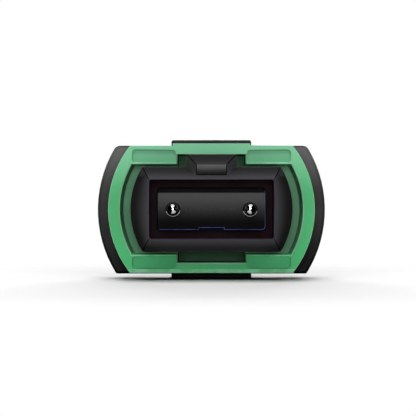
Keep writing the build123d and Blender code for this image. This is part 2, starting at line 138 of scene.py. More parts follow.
class Tree:
    """Adds and joins the nodes of one node tree."""

    def __init__(self, tree: NodeTree) -> None:
        """Take the tree that the nodes go into."""
        self.tree = tree

    def add(self, kind: str, **inputs: object) -> Node:
        """Add a node of that type and fill its inputs."""
        return self.fill(self.tree.nodes.new(kind), **inputs)

    def fill(self, node: Node, **inputs: object) -> Node:
        """Set or join a node's inputs.

        Args:
            node: The node.
            inputs: Values or sockets by input name, with spaces as underscores.

        Returns:
            The node.
        """
        for name, value in inputs.items():
            self.feed(value, node.inputs[name.replace("_", " ")])
        return node

    def feed(self, value: object, target: NodeSocket) -> None:
        """Join a socket to the target, or set the target's own value.

        Args:
            value: A socket, or a value that the target can hold, with three parts for a colour.
            target: The input that takes it.
        """
        if isinstance(value, NodeSocket):
            self.tree.links.new(value, target)
        else:
            target.default_value = (*value, 1.0) if target.type == "RGBA" else value

    def maths(self, operation: str, *values: object, kind: str = "ShaderNodeMath") -> NodeSocket:
        """Add a node that calculates, and return its result.

        Args:
            operation: The node's operation.
            values: Values or sockets for its inputs, in order.
            kind: The node's type name.

        Returns:
            The result's socket.
        """
        node = self.tree.nodes.new(kind)
        node.operation = operation
        for value, target in zip(values, node.inputs):
            self.feed(value, target)
        return next(socket for socket in node.outputs if socket.enabled)

    def effect(self, effect: Effect, **inputs: object) -> dict[str, NodeSocket]:
        """Place a shared effect.

        Args:
            effect: The effect.
            inputs: Values or sockets by input name, with spaces as underscores.

        Returns:
            The effect's outputs by name.
        """
        node = self.tree.nodes.new("ShaderNodeGroup")
        node.node_tree = bpy.data.node_groups[effect.value]
        return {socket.name: socket for socket in self.fill(node, **inputs).outputs}

    def span(
        self, value: object, low: object, high: object, start: float = 0.0, end: float = 1.0
    ) -> NodeSocket:
        """Map a value from one span to another, and stop at the ends.

        Args:
            value: The value or socket.
            low: Where the span starts.
            high: Where the span ends.
            start: The result at low.
            end: The result at high.

        Returns:
            The result's socket.
        """
        node = self.add("ShaderNodeMapRange", Value=value, From_Min=low, From_Max=high)
        self.fill(node, To_Min=start, To_Max=end)
        node.interpolation_type = "SMOOTHSTEP"
        return node.outputs["Result"]

    def mix(self, share: object, first: object, second: object) -> NodeSocket:
        """Mix two colours.

        Args:
            share: How much of the second colour there is.
            first: The first colour or socket.
            second: The second colour or socket.

        Returns:
            The mixed colour.
        """
        node = self.tree.nodes.new("ShaderNodeMix")
        node.data_type = "RGBA"
        colours = [socket for socket in node.inputs if socket.type == "RGBA"]
        self.feed(share, node.inputs["Factor"])
        for value, socket in zip((first, second), colours):
            self.feed(value, socket)
        return next(socket for socket in node.outputs if socket.type == "RGBA")

    def place(self) -> NodeSocket:
        """Return the Object coordinates, in metres."""
        return self.tree.nodes.new("ShaderNodeTexCoord").outputs["Object"]

    def noise(self, scale: object, detail: float = 2.0, where: NodeSocket | None = None) -> NodeSocket:
        """Return noise of so many patches to a metre, read there or at the Object coordinates."""
        node = self.add("ShaderNodeTexNoise", Vector=where or self.place(), Scale=scale, Detail=detail)
        return node.outputs["Fac"]


class EffectGroup(Tree):
    """A new shader node group with named inputs and outputs."""

    def __init__(self, effect: Effect, inputs: dict[str, str], *outputs: str) -> None:
        """Make an empty group.

        Args:
            effect: Which effect it is.
            inputs: Socket kinds by input name.
            outputs: The outputs' names. One named Colour is a colour, and the others are values.
        """
        super().__init__(bpy.data.node_groups.new(effect.value, "ShaderNodeTree"))
        given = {name: "Color" if name == "Colour" else "Float" for name in outputs}
        for way, sockets in (("INPUT", inputs), ("OUTPUT", given)):
            for name, kind in sockets.items():
                self.tree.interface.new_socket(name, in_out=way, socket_type=f"NodeSocket{kind}")
        self.inputs = self.tree.nodes.new("NodeGroupInput").outputs
        self.outputs = self.tree.nodes.new("NodeGroupOutput").inputs

    def give(self, **values: NodeSocket) -> None:
        """Join values to the outputs with those names."""
        for name, value in values.items():
            self.feed(value, self.outputs[name])


def build_effects() -> None:
    """Build every effect group once."""
    group = EffectGroup(Effect.GRAIN, {"Scale": "Float"}, "Height", "Mottle")
    finer, broader, pit_share = 2.2, 0.06, 0.6
    pits = group.add("ShaderNodeTexVoronoi", Vector=group.place(), Scale=group.inputs["Scale"])
    fine = group.noise(group.maths("MULTIPLY", group.inputs["Scale"], finer), 3.0)
    broad = group.noise(group.maths("MULTIPLY", group.inputs["Scale"], broader), 2.0)
    height = group.maths("ADD", group.maths("MULTIPLY", pits.outputs["Distance"], pit_share), fine)
    group.give(Height=height, Mottle=group.span(broad, 0.3, 0.7))

    # Edge colour on the faces of rounded edges, in patches: on the plastics a painted edge highlight, on the
    # metals the bright metal of rubbed edges, also standing as a painted highlight.
    kinds = {"Colour": "Color", "Worn Colour": "Color", "Amount": "Float", "Scale": "Float"}
    group = EffectGroup(Effect.EDGE_WEAR_AND_HIGHLIGHT, kinds, "Colour")
    edge = group.add("ShaderNodeAttribute")
    edge.attribute_name = EDGE_LAYER
    patches = group.span(group.noise(group.inputs["Scale"], 3.0), 0.3, 0.62, 0.35, 1.0)
    edge_mark = group.maths("MULTIPLY", edge.outputs["Fac"], patches)
    edge_mark = group.maths("MULTIPLY", edge_mark, group.inputs["Amount"])
    group.give(Colour=group.mix(edge_mark, group.inputs["Colour"], group.inputs["Worn Colour"]))

    # Painted light and shade: a colour mixed in more and more along one way over a piece, as light and shade
    # fall across it.
    kinds = {"Colour": "Color", "Haze Colour": "Color", "Way": "Vector", "Clear": "Float", "Full": "Float"}
    group = EffectGroup(Effect.PAINTED_LIGHT, kinds, "Colour")
    patch_scale, thinnest = 900.0, 0.96
    along = group.maths("DOT_PRODUCT", group.place(), group.inputs["Way"], kind=VECTOR_MATHS)
    share = group.span(along, group.inputs["Clear"], group.inputs["Full"])
    share = group.maths("MULTIPLY", share, group.span(group.noise(patch_scale), 0.2, 0.8, thinnest, 1.0))
    group.give(Colour=group.mix(share, group.inputs["Colour"], group.inputs["Haze Colour"]))

    group = EffectGroup(Effect.RINGS, {"Scale": "Float"}, "Height", "Streaks")
    stretched = group.maths("MULTIPLY", group.place(), (0.02, 1.0, 0.02), kind=VECTOR_MATHS)
    rings = group.noise(group.inputs["Scale"], 4.0, stretched)
    group.give(Height=rings, Streaks=group.span(rings, 0.35, 0.65))


@dataclass(frozen=True)
class Finish:
    """A finish that can be put on a piece."""

    name: str
    colour: Triple

    def shade(self, nodes: Tree, shader: Node) -> None:
        """Join the finish's patterns to the Principled BSDF."""
        raise NotImplementedError

    def material(self) -> Material:
        """Build the material once and return it from then on.

        Returns:
            The material.
        """
        name = f"{self.name}_finish"
        found = bpy.data.materials.get(name)
        if found:
            return found
        material = bpy.data.materials.new(name)
        material.use_nodes = True
        self.shade(Tree(material.node_tree), material.node_tree.nodes["Principled BSDF"])
        return material


@dataclass(frozen=True)
class PaintedLightBand:
    """A band of painted light or painted shade that grows along one way over a piece."""

    colour: Triple
    way: Triple
    clear: float
    full: float


@dataclass(frozen=True)
class MouldedPlastic(Finish):
    """A moulded thermoplastic with grain, painted edge highlights that break into patches like wear, and bands
    of painted light and shade.
    """

    wear_and_highlight_colour: Triple
    wear_and_highlight: float = 0.5
    edge_patch_scale: float = 1400.0
    roughness: Pair = (0.4, 0.5)
    mottle: float = 0.88
    grain_scale: float = 9000.0
    grain_depth: float = 0.15
    grain_reach: float = 0.01 * MM
    painted_lights: tuple[PaintedLightBand, ...] = ()
    specular: float = 0.5

    def shade(self, nodes: Tree, shader: Node) -> None:
        """Join grain, bands of painted light and shade, and painted edge highlights to the shader.

        Args:
            nodes: The material's nodes.
            shader: Its Principled BSDF.
        """
        grain = nodes.effect(Effect.GRAIN, Scale=self.grain_scale)
        colour = nodes.mix(grain["Mottle"], tuple(self.mottle * part for part in self.colour), self.colour)
        for painted_light in self.painted_lights:
            band = {"Haze_Colour": painted_light.colour, "Way": painted_light.way, "Clear": painted_light.clear, "Full": painted_light.full}
            colour = nodes.effect(Effect.PAINTED_LIGHT, Colour=colour, **band)["Colour"]
        edge_mark = {"Worn_Colour": self.wear_and_highlight_colour, "Amount": self.wear_and_highlight, "Scale": self.edge_patch_scale}
        bump = nodes.add(
            "ShaderNodeBump", Height=grain["Height"], Strength=self.grain_depth, Distance=self.grain_reach
        )
        nodes.fill(
            shader,
            Base_Color=nodes.effect(Effect.EDGE_WEAR_AND_HIGHLIGHT, Colour=colour, **edge_mark)["Colour"],
            Roughness=nodes.span(grain["Mottle"], 0.0, 1.0, *self.roughness),
            Normal=bump.outputs["Normal"],
            Specular_IOR_Level=self.specular,
        )


@dataclass(frozen=True)
class TurnedMetal(Finish):
    """A bright metal with the fine rings of turning, grinding or drawing."""

    dull_colour: Triple
    dull_scale: float = 4000.0
    wear_and_highlight: float = 0.6
    edge_patch_scale: float = 2000.0
    roughness: Pair = (0.12, 0.25)
    ring_scale: float = 30000.0
    ring_depth: float = 0.1
    ring_reach: float = 0.004 * MM

    def shade(self, nodes: Tree, shader: Node) -> None:
        """Join the rings, and the rubbed edges with their painted highlight, to the shader.

        Args:
            nodes: The material's nodes.
            shader: Its Principled BSDF.
        """
        rings = nodes.effect(Effect.RINGS, Scale=self.ring_scale)
        dullness = nodes.effect(Effect.GRAIN, Scale=self.dull_scale)["Mottle"]
        colour = nodes.mix(dullness, self.dull_colour, self.colour)
        edge_mark = {"Worn_Colour": self.colour, "Amount": self.wear_and_highlight, "Scale": self.edge_patch_scale}
        bump = nodes.add(
            "ShaderNodeBump", Height=rings["Height"], Strength=self.ring_depth, Distance=self.ring_reach
        )
        nodes.fill(
            shader,
            Base_Color=nodes.effect(Effect.EDGE_WEAR_AND_HIGHLIGHT, Colour=colour, **edge_mark)["Colour"],
            Roughness=nodes.span(rings["Streaks"], 0.0, 1.0, *self.roughness),
            Normal=bump.outputs["Normal"],
            Metallic=1.0,
        )


@dataclass(frozen=True)
class FibreGlass(Finish):
    """Bare glass fibre, dark because no light is in it."""

    dusty_colour: Triple
    dust_scale: float = 20000.0
    roughness: Pair = (0.2, 0.35)
    index: float = 1.46
    specular: float = 0.1

    def shade(self, nodes: Tree, shader: Node) -> None:
        """Join a trace of dust to the glass.

        Args:
            nodes: The material's nodes.
            shader: Its Principled BSDF.
        """
        dust = nodes.effect(Effect.GRAIN, Scale=self.dust_scale)["Mottle"]
        colour = nodes.mix(dust, self.colour, self.dusty_colour)
        rough = nodes.span(dust, 0.0, 1.0, *self.roughness)
        nodes.fill(shader, Base_Color=colour, Roughness=rough)
        nodes.fill(shader, IOR=self.index, Specular_IOR_Level=self.specular)


@dataclass(frozen=True)
class StagePaper(Finish):
    """Paper without shine, for what stands round the plug, which may fade out round the origin."""

    fade: Pair | None = None

    def shade(self, nodes: Tree, shader: Node) -> None:
        """Colour the paper and fade it out.

        Args:
            nodes: The material's nodes.
            shader: Its Principled BSDF.
        """
        nodes.fill(shader, Base_Color=self.colour, Specular_IOR_Level=0.0)
        if self.fade:
            reach = nodes.maths("LENGTH", nodes.place(), kind=VECTOR_MATHS)
            nodes.fill(shader, Alpha=nodes.span(reach, *self.fade, 1.0, 0.0))


# Black housing plastic: painted light makes it paler towards the front of the nose's bevels, and its pale
# edges are painted edge highlights.
HOUSING_PLASTIC = MouldedPlastic(
    name="housing_plastic",
    colour=(0.008, 0.0078, 0.0084),
    wear_and_highlight_colour=(0.05, 0.05, 0.056),
    wear_and_highlight=0.4,
    painted_lights=(PaintedLightBand((0.045, 0.045, 0.049), FORWARDS, -0.25 * MM, 0.5 * MM),),
    specular=0.1,
)
# Pitch black painted shade, laid in the fine grooves cut at the mitres.
MITRE_SHADE = MouldedPlastic(
    name="mitre_painted_shade",
    colour=PITCH_BLACK,
    wear_and_highlight_colour=PITCH_BLACK,
    wear_and_highlight=0.0,
    roughness=(0.8, 0.9),
    specular=0.0,
)
# The bore and the ring round the opening: a maroon tone lighter than the housing black is painted fill light
# in the dark bore, and the bluish edge colour is a painted highlight.
BORE_PAINTED_LIGHT = MouldedPlastic(
    name="bore_painted_light",
    colour=(0.03, 0.012, 0.015),
    wear_and_highlight_colour=(0.035, 0.035, 0.07),
    wear_and_highlight=0.6,
    specular=0.02,
)
# The key's tip: a darker copy of the housing black, painted paler towards the top as light from above, with
# painted edge highlights.
KEY_TIP_PAINTED_LIGHT = MouldedPlastic(
    name="key_tip_painted_light",
    colour=(0.004, 0.004, 0.004),
    wear_and_highlight_colour=(0.12, 0.12, 0.12),
    wear_and_highlight=0.6,
    painted_lights=(PaintedLightBand((0.078, 0.078, 0.079), UP, 2.14 * MM, 2.68 * MM),),
    specular=0.06,
)
# The side bevels of the key's tip: a paler copy of the housing black, as painted light.
KEY_SIDE_PAINTED_LIGHT = replace(HOUSING_PLASTIC, name="key_side_painted_light", colour=(0.024, 0.024, 0.025), painted_lights=())
# Black grip plastic: painted paler from the bottom to the top as light from above, with a painted darker band
# at the tops of the pads, and painted edge highlights.
GRIP_PLASTIC = MouldedPlastic(
    name="grip_plastic",
    colour=(0.0025, 0.002, 0.0025),
    wear_and_highlight_colour=(0.03, 0.029, 0.031),
    wear_and_highlight=0.3,
    roughness=(0.42, 0.55),
    grain_depth=0.3,
    painted_lights=(
        PaintedLightBand((0.026, 0.024, 0.025), UP, -4.4 * MM, 0.4 * MM),
        PaintedLightBand((0.115, 0.11, 0.112), UP, 0.5 * MM, 4.6 * MM),
        PaintedLightBand((0.013, 0.0125, 0.0145), UP, 3.86 * MM, 3.98 * MM),
    ),
    specular=0.1,
)
# Green coupling plastic: bands of painted light make it paler towards the top and more saturated towards the
# bottom, and its pale edge colour is a painted edge highlight.
COUPLING_PLASTIC = MouldedPlastic(
    name="coupling_plastic",
    colour=(0.066, 0.4, 0.148),
    wear_and_highlight_colour=(0.36, 0.72, 0.5),
    wear_and_highlight=0.8,
    roughness=(0.38, 0.46),
    grain_depth=0.06,
    painted_lights=(
        PaintedLightBand((0.18, 0.5, 0.285), UP, 0.5 * MM, 4.2 * MM),
        PaintedLightBand((0.055, 0.42, 0.142), DOWN, 0.5 * MM, 4.0 * MM),
    ),
    specular=0.1,
)
# A darker, greyer copy of the coupling green: painted shade in the channels and the hollow.
CHANNEL_SHADE = replace(
    COUPLING_PLASTIC,
    name="channel_painted_shade",
    colour=(0.1, 0.26, 0.14),
    wear_and_highlight_colour=(0.12, 0.3, 0.17),
    wear_and_highlight=0.3,
    painted_lights=(),
    specular=0.04,
)
# A much paler copy of the coupling green: painted light on the ledges and side walls deep in the hollow.
LEDGE_LIGHT = replace(
    CHANNEL_SHADE, name="ledge_painted_light", colour=(0.25, 0.62, 0.35), wear_and_highlight_colour=(0.25, 0.62, 0.35)
)
# The sunk pads' green, with their own bands of painted light: paler towards the top and more saturated towards
# the bottom.
PAD_PLASTIC = MouldedPlastic(
    name="pad_plastic",
    colour=(0.066, 0.37, 0.148),
    wear_and_highlight_colour=(0.2, 0.5, 0.3),
    roughness=(0.5, 0.6),
    painted_lights=(
        PaintedLightBand((0.155, 0.4, 0.24), UP, 0.5 * MM, 4.2 * MM),
        PaintedLightBand((0.07, 0.38, 0.155), DOWN, 0.5 * MM, 4.0 * MM),
    ),
    specular=0.05,
)
# Black ferrule resin: painted light makes it grey towards the top, a pitch black band near the top is the
# painted shadow of the housing's lip, and the blue-violet edge colour is a painted highlight.
FERRULE_RESIN = MouldedPlastic(
    name="ferrule_resin",
    colour=(0.001, 0.001, 0.0012),
    wear_and_highlight_colour=(0.1, 0.1, 0.38),
    wear_and_highlight=1.0,
    roughness=(0.3, 0.4),
    grain_depth=0.05,
    painted_lights=(
        PaintedLightBand((0.062, 0.062, 0.064), UP, -0.9 * MM, 1.25 * MM),
        PaintedLightBand(PITCH_BLACK, UP, 0.95 * MM, 1.0 * MM),
    ),
    specular=0.02,
)
# Pitch black painted shade in the countersinks round the pins.
COUNTERSINK_SHADE = replace(MITRE_SHADE, name="countersink_painted_shade", roughness=(0.5, 0.6), specular=0.05)
# A bluish tone lighter than the resin: a painted highlight in the notch and on the ferrule's forward faces
# behind the end face.
NOTCH_HIGHLIGHT = MouldedPlastic(
    name="notch_painted_highlight", colour=(0.02, 0.018, 0.045), wear_and_highlight_colour=(0.03, 0.03, 0.06), wear_and_highlight=0.3, specular=0.05
)
# A pale grey painted glint on the lower rims of the countersinks.
RIM_GLINT = MouldedPlastic(
    name="rim_painted_glint",
    colour=(0.5, 0.5, 0.52),
    wear_and_highlight_colour=(0.6, 0.6, 0.62),
    roughness=(0.2, 0.3),
    grain_depth=0.02,
)
KEEPER_RESIN = MouldedPlastic(
    name="keeper_resin", colour=(0.045, 0.045, 0.05), wear_and_highlight_colour=(0.12, 0.12, 0.13), roughness=(0.45, 0.55)
)
BOOT_RUBBER = MouldedPlastic(
    name="boot_rubber",
    colour=(0.02, 0.02, 0.021),
    wear_and_highlight_colour=(0.05, 0.05, 0.05),
    roughness=(0.65, 0.8),
    grain_depth=0.5,
    specular=0.3,
)
PIN_STEEL = TurnedMetal(
    name="pin_steel", colour=(0.82, 0.82, 0.83), dull_colour=(0.7, 0.7, 0.71), roughness=(0.06, 0.12)
)
SPRING_STEEL = TurnedMetal(
    name="spring_steel", colour=(0.6, 0.6, 0.61), dull_colour=(0.42, 0.42, 0.43), roughness=(0.22, 0.38)
)
SLEEVE_NICKEL = TurnedMetal(
    name="sleeve_nickel",
    colour=(0.7, 0.68, 0.63),
    dull_colour=(0.64, 0.62, 0.575),
    roughness=(0.3, 0.42),
    ring_scale=16000.0,
    ring_depth=0.06,
)
FIBRE_GLASS = FibreGlass(name="fibre_glass", colour=(0.012, 0.012, 0.014), dusty_colour=(0.025, 0.025, 0.028))
FLOOR_PAPER = StagePaper(name="floor_paper", colour=(0.3, 0.3, 0.3), fade=(0.03, 0.16))
FLAG_PAPER = StagePaper(name="flag_paper", colour=(0.0, 0.0, 0.0))


def link_object(name: str, data: ID) -> Object:
    """Put data in the scene.

    Args:
        name: The object's name.
        data: A mesh, a lamp or a camera.

    Returns:
        The new object.
    """
    made = bpy.data.objects.new(name, data)
    bpy.context.scene.collection.objects.link(made)
    return made


def link_mesh(name: str, mesh: BMesh, finishes: list[Finish]) -> Object:
    """Put a mesh in the scene.

    Args:
        name: The object's name.
        mesh: The mesh, which is freed.
        finishes: Its finishes by material index.

    Returns:
        The new object.
    """
    data = bpy.data.meshes.new(name)
    mesh.to_mesh(data)
    mesh.free()
    for finish in finishes:
        data.materials.append(finish.material())
    return link_object(name, data)


def set_at(place: Vector, way: Triple) -> Matrix:
    """Return the matrix that moves a flat shape to a place and faces it along a way."""
    return Matrix.Translation(place) @ Vector(way).to_track_quat("Z", "Y").to_matrix().to_4x4()


def looks_out(middle: Vector, normal: Vector) -> float:
    """Return how far a face looks away from the plug's axis: below 0 it looks inwards."""
    return middle.x * normal.x + middle.z * normal.z


def soften(
    mesh: BMesh,
    radius: float,
    chosen: Callable[[BMEdge], bool],
    turn: float = SMOOTH_ANGLE,
    segments: int = 2,
) -> None:
    """Round sharp edges over, and mark the new faces so that painted edge highlights and wear show on them.

    Args:
        mesh: The mesh.
        radius: How far the rounding reaches from each edge.
        chosen: Tells whether a sharp edge is rounded.
        turn: By how much the surface turns at a sharp edge.
        segments: How many faces the rounding has across.
    """
    layer = mesh.faces.layers.float.get(EDGE_LAYER) or mesh.faces.layers.float.new(EDGE_LAYER)
    sharp = [edge for edge in mesh.edges if edge.is_manifold and edge.calc_face_angle(0.0) > turn]
    edges = [edge for edge in sharp if chosen(edge)]
    made = bmesh.ops.bevel(
        mesh, geom=edges, offset=radius, segments=segments, profile=0.5, affect="EDGES", material=-1
    )
    for face in made["faces"]:
        face[layer] = 1.0


@dataclass
class Piece:
    """One piece of the plug, which stands for a CAD node."""

    cad_nodes: ClassVar[dict[str, Object]] = {}
    node: str
    body: Body
    slot: Slot
    finish: Finish

    def mesh(self) -> BMesh:
        """Build the piece's mesh in the frame's place."""
        raise NotImplementedError

    def build(self) -> Object:
        """Build the piece, dress it and put it on its body.

        Returns:
            The finished object.
        """
        piece = link_mesh(f"{self.node}_look", self.mesh(), self.finishes())
        piece.data.shade_smooth()
        piece.data.set_sharp_from_angle(angle=SMOOTH_ANGLE)
        piece.modifiers.new("normals", "WEIGHTED_NORMAL").keep_sharp = True
        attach(piece, self.body.value)
        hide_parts(self.node)
        LOG.info("%s: %d faces", piece.name, len(piece.data.polygons))
        return piece

    def finishes(self) -> list[Finish]:
        """Return the finishes by material index."""
        return [self.finish]


@dataclass
class SoftenedPiece(Piece):
    """A moulded piece whose CAD shape is right and gets rounded edges."""

    radius: float = 0.04 * MM
    least_turn: float = SMOOTH_ANGLE

    def mesh(self) -> BMesh:
        """Copy the CAD shape, join its loose triangles into whole flat faces, and soften it.

        Returns:
            The softened mesh.
        """
        mesh = bmesh.new()
        mesh.from_mesh(self.cad_nodes[self.node].data)
        bmesh.ops.remove_doubles(mesh, verts=mesh.verts, dist=MERGE_DISTANCE)
        bmesh.ops.dissolve_limit(mesh, angle_limit=FLAT_ANGLE, verts=mesh.verts, edges=mesh.edges)
        self.shape(mesh)
        return mesh

    def shape(self, mesh: BMesh) -> None:
        """Round the edges that don't stay sharp."""
        soften(mesh, self.radius, lambda edge: not self.stays_sharp(edge), self.least_turn)

    def stays_sharp(self, edge: BMEdge) -> bool:
        """Tell whether an edge isn't rounded."""
        return False

    def dress(self, face: BMFace, finish: Finish) -> None:
        """Give a face one of the piece's finishes."""
        face.material_index = self.finishes().index(finish)


@dataclass
class InnerHousing(SoftenedPiece):
    """The black tube with the bevelled nose and key, with fine grooves at its mitres that are painted pitch
    black as shade.
    """

    radius: float = 0.03 * MM
    least_turn: float = math.radians(12)
    line_depth: float = 0.02 * MM
    nose_rear: float = 0.7 * MM
    shortest_mitre: float = 0.3 * MM
    rim_rear: float = -0.3 * MM
    rim_slack: float = 0.1 * MM
    key_front: Pair = (1.95 * MM, 2.6 * MM)
    key_reach: float = 0.0
    key_side: float = 2.6 * MM
    key_bevel: Triple = (0.95 * MM, 2.0 * MM, 0.5 * MM)
    key_bevel_turn: float = 0.6
    shortest_foot: float = 0.15 * MM
    bore: Triple = (3.72 * MM, 0.1 * MM, 1.77 * MM)

    def shape(self, mesh: BMesh) -> None:
        """Soften the edges, cut the mitre grooves and paint shade in them, and paint light on the bore and the
        key's tip.

        Args:
            mesh: The joined mesh.
        """
        super().shape(mesh)
        self.cut_lines(mesh)
        layer = mesh.faces.layers.float[EDGE_LAYER]
        half_width, front, half_height = self.bore
        for face in mesh.faces:
            middle = face.calc_center_median()
            if face.material_index == 0 and middle.y > front:
                if abs(middle.x) < half_width and abs(middle.z) < half_height:
                    self.dress(face, BORE_PAINTED_LIGHT)
            elif face.material_index == 0 and face.normal.y < -FACING:
                # Forward faces: the key's tip takes its painted light, and the ring round the opening takes
                # the bore's painted light with its bluish painted highlight all over.
                on_key = middle.z > half_height + self.rim_slack
                self.dress(face, KEY_TIP_PAINTED_LIGHT if on_key else BORE_PAINTED_LIGHT)
                face[layer] = 0.0 if on_key else 1.0
            if face.material_index == 0 and self.beside_key(face):
                self.dress(face, KEY_SIDE_PAINTED_LIGHT)

    def beside_key(self, face: BMFace) -> bool:
        """Tell the side bevels of the key's tip from the other faces.

        Args:
            face: A face.

        Returns:
            Whether it is one of them.
        """
        side, foot, rear = self.key_bevel
        middle = face.calc_center_median()
        near = abs(middle.x) > side and middle.z > foot and middle.y < rear
        return near and abs(face.normal.x) > self.key_bevel_turn

    def stays_sharp(self, edge: BMEdge) -> bool:
        """Tell whether an edge is the inner one of the narrow rim round the opening."""
        half_width, _, half_height = self.bore
        return all(
            v.co.y < self.rim_rear and abs(v.co.x) < half_width and abs(v.co.z) < half_height + self.rim_slack
            for v in edge.verts
        )

    def cut_lines(self, mesh: BMesh) -> None:
        """Turn the softened mitres of the nose and of the key's tip into fine grooves, painted pitch black as
        shade.

        Args:
            mesh: The housing's mesh.
        """
        layer = mesh.faces.layers.float[EDGE_LAYER]
        low, high = self.key_front
        for face in mesh.faces:
            depths = [v.co.y for v in face.verts]
            middle = face.calc_center_median()
            at_mitre = max(depths) < self.nose_rear and max(depths) - min(depths) > self.shortest_mitre
            at_key = middle.y < self.key_reach and low < middle.z < high
            sides = [abs(v.co.x) for v in face.verts]
            at_foot = low - self.rim_slack < middle.z < high and max(sides) < self.key_side
            at_foot = at_foot and max(sides) - min(sides) > self.shortest_foot
            if face[layer] and (at_mitre or at_key) and not at_foot:
                self.dress(face, MITRE_SHADE)
                face[layer] = 0.0
        line = self.finishes().index(MITRE_SHADE)
        for edge in mesh.edges:
            lined = len(edge.link_faces) == 2 and all(face.material_index == line for face in edge.link_faces)
            if lined and edge.calc_length() > self.shortest_mitre:
                inwards = -(edge.link_faces[0].normal + edge.link_faces[1].normal).normalized()
                for vert in edge.verts:
                    vert.co += inwards * self.line_depth

    def finishes(self) -> list[Finish]:
        """Return the plastic, then the painted shade in the lines, the painted light in the bore, and the
        painted light on the key's tip and its sides.
        """
        return [self.finish, MITRE_SHADE, BORE_PAINTED_LIGHT, KEY_TIP_PAINTED_LIGHT, KEY_SIDE_PAINTED_LIGHT]


@dataclass
class CouplingSleeve(SoftenedPiece):
    """The green sleeve, with crisp corner pads and a crisp strip on top."""

    radius: float = 0.02 * MM
    pad_side: float = 2.6 * MM
    pad_rear: float = 4.3 * MM
    pad_inside: float = 2.7 * MM
    step: float = 0.12 * MM
    brim_rear: float = 4.01 * MM
    brim_radius: float = 0.1 * MM
    hollow_top: float = 2.8 * MM
    block_top: float = 2.65 * MM
    channel_side: float = 2.1 * MM
    chamfer_rear: float = 4.11 * MM
    ledge_rear: float = 9 * MM
    hollow_rear: float = 12.4 * MM
    least_reach: float = 1 * MM
    side_wall: float = 4.5 * MM
    side_turn: float = 0.7
    slanted: float = 0.3
    brim_highlight: float = 0.7

    def shape(self, mesh: BMesh) -> None:
        """Round the brim, then the edges that have room for it, and tell the faces apart for their painted
        light and shade.

        Args:
            mesh: The joined mesh.
        """
        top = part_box(self.node)[1].z
        soften(mesh, self.brim_radius, self.on_brim, segments=4)
        soften(mesh, self.radius, lambda edge: not self.at_pad_side(edge) and not self.on_strip(edge, top))
        layer = mesh.faces.layers.float[EDGE_LAYER]
        for face in mesh.faces:
            middle = face.calc_center_median()
            across, outwards = abs(middle.x), looks_out(middle, face.normal)
            at_front, facing = middle.y < self.chamfer_rear, face.normal.y < -FACING
            # Slanted brim faces: outward ones keep the green with a painted edge highlight, the lower blocks
            # keep the green, and the other inward ones take painted shade, with painted light on the side
            # walls.
            if at_front and -FACING < face.normal.y < -self.slanted:
                lower_block = -self.hollow_top < middle.z < -self.block_top and across > self.channel_side
                at_side = across > self.side_wall and abs(middle.z) < self.block_top
                inwards_finish = LEDGE_LIGHT if at_side else CHANNEL_SHADE
                face[layer] = self.brim_highlight if outwards > 0.0 else 0.0
                self.dress(face, self.finish if outwards > 0.0 or lower_block else inwards_finish)
            elif middle.y < self.hollow_rear and (outwards < -self.least_reach or not at_front and facing):
                self.dress(face, self.inside_finish(middle, face.normal))

    def inside_finish(self, middle: Vector, normal: Vector) -> Finish:
        """Choose the finish of a face in the hollow, in a channel or on a pad: painted light on the ledges,
        side walls and tops of the lower blocks, and painted shade on the rest.

        Args:
            middle: The face's middle.
            normal: Its normal.

        Returns:
            The finish.
        """
        if normal.y < -FACING:
            if middle.y < self.pad_rear:
                return PAD_PLASTIC
            return LEDGE_LIGHT if middle.y < self.ledge_rear or middle.z > 0.0 else CHANNEL_SHADE
        at_side = abs(normal.x) > self.side_turn and abs(middle.x) > self.side_wall
        on_block = normal.z > self.side_turn and -self.hollow_top < middle.z < -self.block_top
        return LEDGE_LIGHT if at_side or on_block else CHANNEL_SHADE

    def on_brim(self, edge: BMEdge) -> bool:
        """Tell the edges where the front runs into the hollow or a channel from the others.

        Args:
            edge: An edge.

        Returns:
            Whether it is one of them.
        """
        middle = (edge.verts[0].co + edge.verts[1].co) / 2
        if any(v.co.y > self.brim_rear for v in edge.verts):
            return False
        if abs(middle.z) > self.hollow_top and abs(middle.x) > self.channel_side:
            return False
        return any(looks_out(middle, face.normal) < -self.least_reach for face in edge.link_faces)

    def at_pad_side(self, edge: BMEdge) -> bool:
        """Tell whether an edge is where a corner pad comes close to the side of its block."""
        spots = [(abs(v.co.x), v.co.y, abs(v.co.z)) for v in edge.verts]
        return all(x < self.pad_side and y < self.pad_rear and z > self.pad_inside for x, y, z in spots)

    def on_strip(self, edge: BMEdge, top: float) -> bool:
        """Tell whether an edge belongs to the low step of the strip on top."""
        return all(v.co.z > top - self.step and abs(v.co.x) < self.pad_side for v in edge.verts)

    def finishes(self) -> list[Finish]:
        """Return the outside's finish, then the channels' painted shade, the ledges' painted light, and the
        sunk pads' finish.
        """
        return [self.finish, CHANNEL_SHADE, LEDGE_LIGHT, PAD_PLASTIC]


@dataclass
class GripShell(SoftenedPiece):
    """The ribbed black shell, whose flat pads have rounder corners than the rest."""

    radius: float = 0.03 * MM
    pad_radius: float = 0.12 * MM
    pad_depth: float = 0.1 * MM

    def shape(self, mesh: BMesh) -> None:
        """Round the pads' outer edges first, and then the others.

        Args:
            mesh: The joined mesh.
        """
        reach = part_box(self.node)[1].z - self.pad_depth
        soften(mesh, self.pad_radius, lambda edge: all(abs(v.co.z) > reach for v in edge.verts), segments=4)
        super().shape(mesh)


